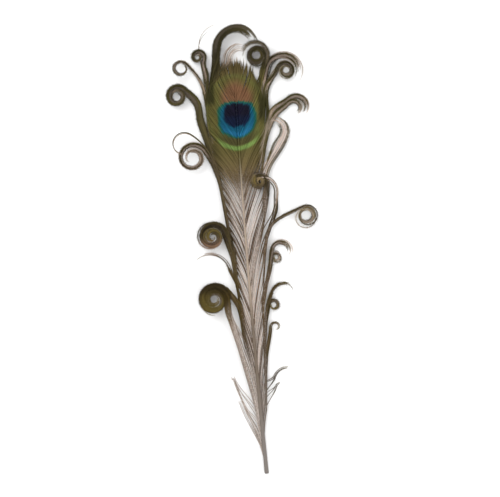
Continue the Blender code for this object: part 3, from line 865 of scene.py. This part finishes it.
# Pale barbs and their fringe, in the web and in the curls, and the stray lock on the right.
PALE_WEB, PALE_WEB_FRINGE = srgb(206, 190, 178), srgb(252, 242, 235)
PALE_CURL, PALE_CURL_FRINGE = srgb(164, 142, 122), srgb(224, 204, 190)
STRAY_WHITE = srgb(236, 216, 204)

# The eye, from its rim inwards.
EYE_OLIVE, EYE_GOLD, EYE_BRONZE = srgb(88, 82, 40), srgb(84, 86, 42), srgb(106, 74, 50)
EYE_CROWN, EYE_CHIN, EYE_BORDER = srgb(74, 62, 34), srgb(70, 66, 34), srgb(50, 48, 18)
RIM_DULL, RIM_LIME = srgb(92, 98, 50), srgb(108, 134, 68)
DISC_RIM, DISC_TEAL, DISC_BLUE = srgb(22, 82, 64), srgb(6, 76, 100), srgb(26, 96, 132)
PUPIL_NAVY, PUPIL_VIOLET = srgb(2, 15, 42), srgb(6, 4, 26)

# The quill, from its cut end up.
QUILL_CUT, QUILL_LOW = srgb(116, 109, 104), srgb(106, 94, 82)
QUILL_MIDDLE, QUILL_OLIVE = srgb(152, 137, 122), srgb(84, 76, 36)


# The places of the Mix node's colour sockets. It has others with the same names.
MIX_A, MIX_B, MIX_RESULT = 6, 7, 2


class Nodes:
    """Short ways to add shader nodes to one material."""

    def __init__(self, name):
        self.material = bpy.data.materials.new(name)
        self.material.use_nodes = True
        self.tree = self.material.node_tree

    def put(self, socket, value):
        if isinstance(value, bpy.types.NodeSocket):
            self.tree.links.new(value, socket)
        else:
            socket.default_value = value

    def math(self, operation, a, b=0.0):
        node = self.tree.nodes.new("ShaderNodeMath")
        node.operation = operation
        self.put(node.inputs[0], a)
        self.put(node.inputs[1], b)
        return node.outputs[0]

    def plus(self, a, b):
        return self.math("ADD", a, b)

    def minus(self, a, b):
        return self.math("SUBTRACT", a, b)

    def times(self, first, *others):
        for other in others:
            first = self.math("MULTIPLY", first, other)
        return first

    def band(self, value, low, high):
        """0 below low and 1 above high, with a soft step between them. low may be over high."""
        node = self.tree.nodes.new("ShaderNodeMapRange")
        node.interpolation_type = "SMOOTHSTEP"
        flip = low > high
        self.put(node.inputs["Value"], value)
        node.inputs["From Min"].default_value = high if flip else low
        node.inputs["From Max"].default_value = low if flip else high
        node.inputs["To Min"].default_value = 1.0 if flip else 0.0
        node.inputs["To Max"].default_value = 0.0 if flip else 1.0
        return node.outputs["Result"]

    def between(self, value, low, first, last, high):
        """1 from first to last, and 0 below low and above high."""
        return self.times(self.band(value, low, first), self.band(value, high, last))

    def blend(self, share, a, b, mode="MIX"):
        """Colour a where share is 0, and b where it is 1."""
        node = self.tree.nodes.new("ShaderNodeMix")
        node.data_type = "RGBA"
        node.blend_type = mode
        self.put(node.inputs["Factor"], share)
        self.put(node.inputs[MIX_A], a)
        self.put(node.inputs[MIX_B], b)
        return node.outputs[MIX_RESULT]

    def attribute(self, name):
        node = self.tree.nodes.new("ShaderNodeAttribute")
        node.attribute_name = name
        return node.outputs["Fac"]

    def place(self):
        return self.tree.nodes.new("ShaderNodeTexCoord").outputs["Object"]

    def position(self):
        """x, y in millimetres, as in the tables."""
        split = self.tree.nodes.new("ShaderNodeSeparateXYZ")
        self.put(split.inputs[0], self.place())
        return [
            self.minus(self.times(split.outputs[axis], 1 / MM), SHIFT[axis]) for axis in (0, 1)
        ]

    def noise(self, scale, detail=2.0):
        """A noise around 0."""
        node = self.tree.nodes.new("ShaderNodeTexNoise")
        node.inputs["Scale"].default_value = scale
        node.inputs["Detail"].default_value = detail
        self.put(node.inputs["Vector"], self.place())
        return self.minus(node.outputs["Fac"], 0.5)

    def oval(self, x, y, shape, flat_top=False):
        """Distance from an oval's centre, 1 on its rim. With flat_top its top is squarer."""
        centre, half = shape
        dx = self.math("ABSOLUTE", self.math("DIVIDE", self.minus(x, centre[0]), half[0]))
        dy = self.math("DIVIDE", self.minus(y, centre[1]), half[1])
        power = 2.0
        if flat_top:
            power = self.plus(2.0, self.times(self.band(dy, -0.3, 0.6), 2.2))
        up = self.math("ABSOLUTE", dy)
        total = self.plus(self.math("POWER", dx, power), self.math("POWER", up, power))
        return self.math("POWER", total, self.math("DIVIDE", 1.0, power))

    def finish(self, colour, roughness, gloss=0.15):
        shader = self.tree.nodes["Principled BSDF"]
        self.put(shader.inputs["Base Color"], colour)
        self.put(shader.inputs["Roughness"], roughness)
        self.put(shader.inputs["Specular IOR Level"], gloss)
        return self.material


def eye_colour(n, x, y, wx, wy, gather, outer):
    """The eye over the outer colour, from its rim inwards. wx, wy is the place with a wobble."""
    side = n.math("ABSOLUTE", x)
    ring_x = n.plus(x, n.times(n.minus(wx, x), 0.3))
    ring_y = n.plus(y, n.times(n.minus(wy, y), 0.3))
    ring = n.oval(ring_x, ring_y, GREEN_RING)
    inside = n.band(ring, 1.06, 0.94)
    colour = n.blend(inside, outer, EYE_OLIVE)
    gold = n.times(n.band(side, 13.6, 12.2), n.band(y, 240, 230), inside)
    colour = n.blend(gold, colour, EYE_GOLD)
    dome = n.times(n.band(n.oval(wx, wy, BRONZE_DOME), 1.1, 0.6), n.band(y, 228, 233))
    colour = n.blend(dome, colour, EYE_BRONZE)
    top = n.times(n.band(y, 244, 256), n.band(side, 16.0, 13.0), n.band(gather, 0.5, 0.2))
    top = n.times(top, n.minus(1.0, n.attribute("pale")))
    colour = n.blend(top, colour, EYE_CROWN)
    low_band = n.times(n.band(y, 216, 209), n.band(ring, 0.93, 0.84))
    colour = n.blend(low_band, colour, EYE_CHIN)

    # The rim is bright green below the disc, and hardly there above it.
    below = n.band(y, 213, 205.5)
    rim = n.between(ring, 0.875, 0.93, 0.97, 1.04)
    lime = n.blend(below, RIM_DULL, RIM_LIME)
    strength = n.blend(below, grey(0.25), grey(1.0))
    colour = n.blend(n.times(rim, strength), colour, lime)

    # A dark olive border on both sides of the head.
    higher = n.math("MAXIMUM", n.times(n.minus(y, 236.0), 0.35), 0.0)
    border = n.times(n.band(side, 12.4, 14.6), n.band(n.plus(side, higher), 20.5, 18.5))
    left = n.times(n.band(x, 1, -1), n.band(y, 230, 235))
    right = n.times(n.band(x, -1, 1), n.band(y, 216, 224))
    right = n.times(right, n.minus(1.0, n.times(n.band(y, 232, 242), 0.55)))
    border = n.times(border, n.plus(left, right), n.band(gather, 0.9, 0.6))
    colour = n.blend(border, colour, EYE_BORDER)

    # The blue disc with its green rim, and the pupil in it.
    disc = n.oval(wx, wy, BLUE_DISC, True)
    colour = n.blend(n.band(disc, 1.1, 0.98), colour, DISC_RIM)
    colour = n.blend(n.band(disc, 1.0, 0.82), colour, DISC_TEAL)
    bright = n.times(n.between(disc, 0.55, 0.8, 0.86, 1.0), n.band(y, 222, 212))
    colour = n.blend(bright, colour, DISC_BLUE)
    notch = n.band(n.oval(wx, wy, PUPIL_NOTCH), 0.6, 1.2)
    dark = n.times(n.band(n.oval(wx, wy, PUPIL, True), 1.12, 0.86), notch)
    deep = n.blend(n.band(y, 225.5, 222), PUPIL_VIOLET, PUPIL_NAVY)
    return n.blend(dark, colour, deep)


def barb_material():
    n = Nodes("barbs")
    x, y = n.position()
    tone = n.attribute("tone")
    gather = n.attribute("gather")
    fuzz = n.attribute("fuzz")
    wobble = n.times(n.noise(160.0, 3.0), 3.2)
    wx = n.plus(x, wobble)
    wy = n.plus(y, n.plus(wobble, n.times(tone, 0.35)))

    # In the web: brown strands with a pale mauve fringe, warmer towards the eye and then olive.
    strand = n.blend(n.band(y, 20, 110), STRAND_LOW, STRAND_HIGH)
    fringe = n.blend(n.band(y, 20, 110), FRINGE_LOW, FRINGE_HIGH)
    web = n.blend(fuzz, strand, fringe)
    web = n.blend(n.band(y, 168, 198), web, WEB_BROWN)
    web = n.blend(n.band(y, 186, 206), web, WEB_OLIVE)

    # In the curls: brown, lighter at their tips, and grey at the quill.
    curl = n.blend(n.band(y, 116, 150), CURL_LOW, CURL_MIDDLE)
    curl = n.blend(n.band(y, 196, 214), curl, CURL_CHEEK)
    curl = n.blend(n.band(y, 236, 254), curl, CURL_CROWN)
    curl = n.blend(n.band(y, 90, 40), curl, CURL_QUILL)
    tip = n.blend(n.band(y, 160, 172), TIP_LOW, TIP_MIDDLE)
    far_left = n.times(n.band(x, -14, -20), n.band(y, 178, 186))
    tip = n.blend(far_left, tip, TIP_LEFT)
    tip = n.blend(n.band(y, 190, 246), tip, TIP_CROWN)
    curl = n.blend(n.band(gather, 1.2, 1.9), curl, tip)
    # Painted highlight: the lower side of the middle roll on the left is lit up in a reddish
    # brown.
    curled = n.band(gather, 0.8, 1.0)
    under = n.times(n.between(y, 137, 140, 145, 151), n.band(x, -14.0, -17.0), curled)
    curl = n.blend(n.times(under, 0.8), curl, MIDDLE_ROLL_RED_HIGHLIGHT)
    # Painted shade: the crest of the great roll, its upper arc, is darkened nearly to black.
    crest_shade = n.times(n.between(y, 112, 118, 122, 128), n.band(x, -13.0, -16.0))
    curl = n.blend(n.times(crest_shade, 0.7), curl, GREAT_ROLL_CREST_SHADE)
    # The roll below the eye on the right is golden on its left.
    golden = n.times(n.between(y, 176, 179, 186, 189), n.between(x, 3, 4, 7, 9), curled)
    curl = n.blend(golden, curl, CHIN_ROLL_GOLD)
    outer = n.blend(n.band(gather, 0.1, 0.8), web, curl)

    # Pale barbs, in the web and out of it.
    light = n.blend(fuzz, PALE_WEB, PALE_WEB_FRINGE)
    light_curl = n.blend(fuzz, PALE_CURL, PALE_CURL_FRINGE)
    light = n.blend(n.band(gather, 0.2, 0.6), light, light_curl)
    # The stray lock on the right is nearly white between its rims.
    past = n.minus(x, n.times(n.minus(y, 157.0), 0.375))
    white = n.times(n.band(past, 0, 2), n.band(x, 10, 13), n.between(y, 180, 186, 219, 224))
    light = n.blend(white, light, STRAY_WHITE)
    outer = n.blend(n.attribute("pale"), outer, light)
    colour = eye_colour(n, x, y, wx, wy, gather, outer)

    # Each barb is a little lighter or darker than its neighbours, with a fine grain.
    value = n.plus(1.0, n.times(tone, 0.16))
    value = n.math("MAXIMUM", n.plus(value, n.times(n.noise(900.0), 0.3)), 0.35)
    combine = n.tree.nodes.new("ShaderNodeCombineColor")
    for socket in combine.inputs[:3]:
        n.put(socket, value)
    colour = n.blend(1.0, colour, combine.outputs[0], "MULTIPLY")
    return n.finish(colour, roughness=0.7)


def quill_material():
    n = Nodes("quill")
    x, y = n.position()
    colour = n.blend(n.band(y, 10, 70), QUILL_CUT, QUILL_LOW)
    colour = n.blend(n.band(y, 90, 120), colour, QUILL_MIDDLE)
    colour = n.blend(n.band(y, 170, 204), colour, QUILL_OLIVE)
    colour = eye_colour(n, x, y, x, y, 0.0, colour)
    return n.finish(colour, roughness=0.62)


def add_light(name, place, size, power):
    """A square light that faces the feather's middle."""
    light = bpy.data.lights.new(name, "AREA")
    light.shape = "RECTANGLE"
    light.size = light.size_y = size
    light.energy = power
    obj = bpy.data.objects.new(name, light)
    obj.location = place
    obj.rotation_euler = (-Vector(place)).to_track_quat("-Z", "Y").to_euler()
    bpy.context.scene.collection.objects.link(obj)
    obj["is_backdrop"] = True


def make_stage():
    """A white ground under a white sky, and two lights."""
    mesh = bpy.data.meshes.new("floor")
    signs = ((-1, -1), (1, -1), (1, 1), (-1, 1))
    corners = [(x * FLOOR_HALF, y * FLOOR_HALF, 0) for x, y in signs]
    mesh.from_pydata(corners, [], [(0, 1, 2, 3)])
    mesh.materials.append(Nodes("paper").finish(grey(0.92), roughness=0.8, gloss=0.1))
    floor = bpy.data.objects.new("floor", mesh)
    bpy.context.scene.collection.objects.link(floor)
    floor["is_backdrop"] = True

    world = bpy.data.worlds.new("studio")
    world.use_nodes = True
    sky = world.node_tree.nodes["Background"]
    sky.inputs["Color"].default_value = grey(1.0)
    sky.inputs["Strength"].default_value = SKY_STRENGTH
    bpy.context.scene.world = world
    add_light("key", place=(-0.35, 0.45, 0.9), size=0.7, power=5.5)
    add_light("fill", place=(0.5, -0.3, 0.8), size=0.8, power=3.0)


def make_camera():
    """Straight above the feather, turned so that its crown leans to the left as in the photo."""
    lens = bpy.data.cameras.new("camera")
    lens.lens = LENS
    lens.sensor_width = FILM_WIDTH
    camera = bpy.data.objects.new("camera", lens)
    low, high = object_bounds()
    middle = (low + high) / 2
    camera.location = (middle.x, middle.y, CAMERA_HEIGHT)
    camera.rotation_euler = (0, 0, math.radians(CAMERA_TURN))
    bpy.context.scene.collection.objects.link(camera)
    bpy.context.scene.camera = camera


def make_vane(node, side, material):
    """All barbs of one side, as a few joined meshes."""
    bundles = [b for b in BUNDLES if b.side == side]
    pieces = []
    group = Mesh()
    for b in bundles:
        add_bundle(group, b)
        last = b is bundles[-1]
        if last:
            add_fill(group, side)
        if last or group.triangles() > PIECE_TRIANGLES:
            pieces.append(group.build(f"{node}_barbs_{len(pieces) + 1}", material))
            group = Mesh()
    return pieces


def main():
    barbs = barb_material()
    quill = make_quill()
    quill.data.materials.append(quill_material())
    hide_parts("shaft")
    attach(quill, "root")
    for side, node in ((-1, "left_vane"), (1, "right_vane")):
        for piece in make_vane(node, side, barbs):
            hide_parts(node)
            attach(piece, "root")
    make_stage()
    make_camera()


main()
bpy.context.scene.view_settings.view_transform = "Standard"
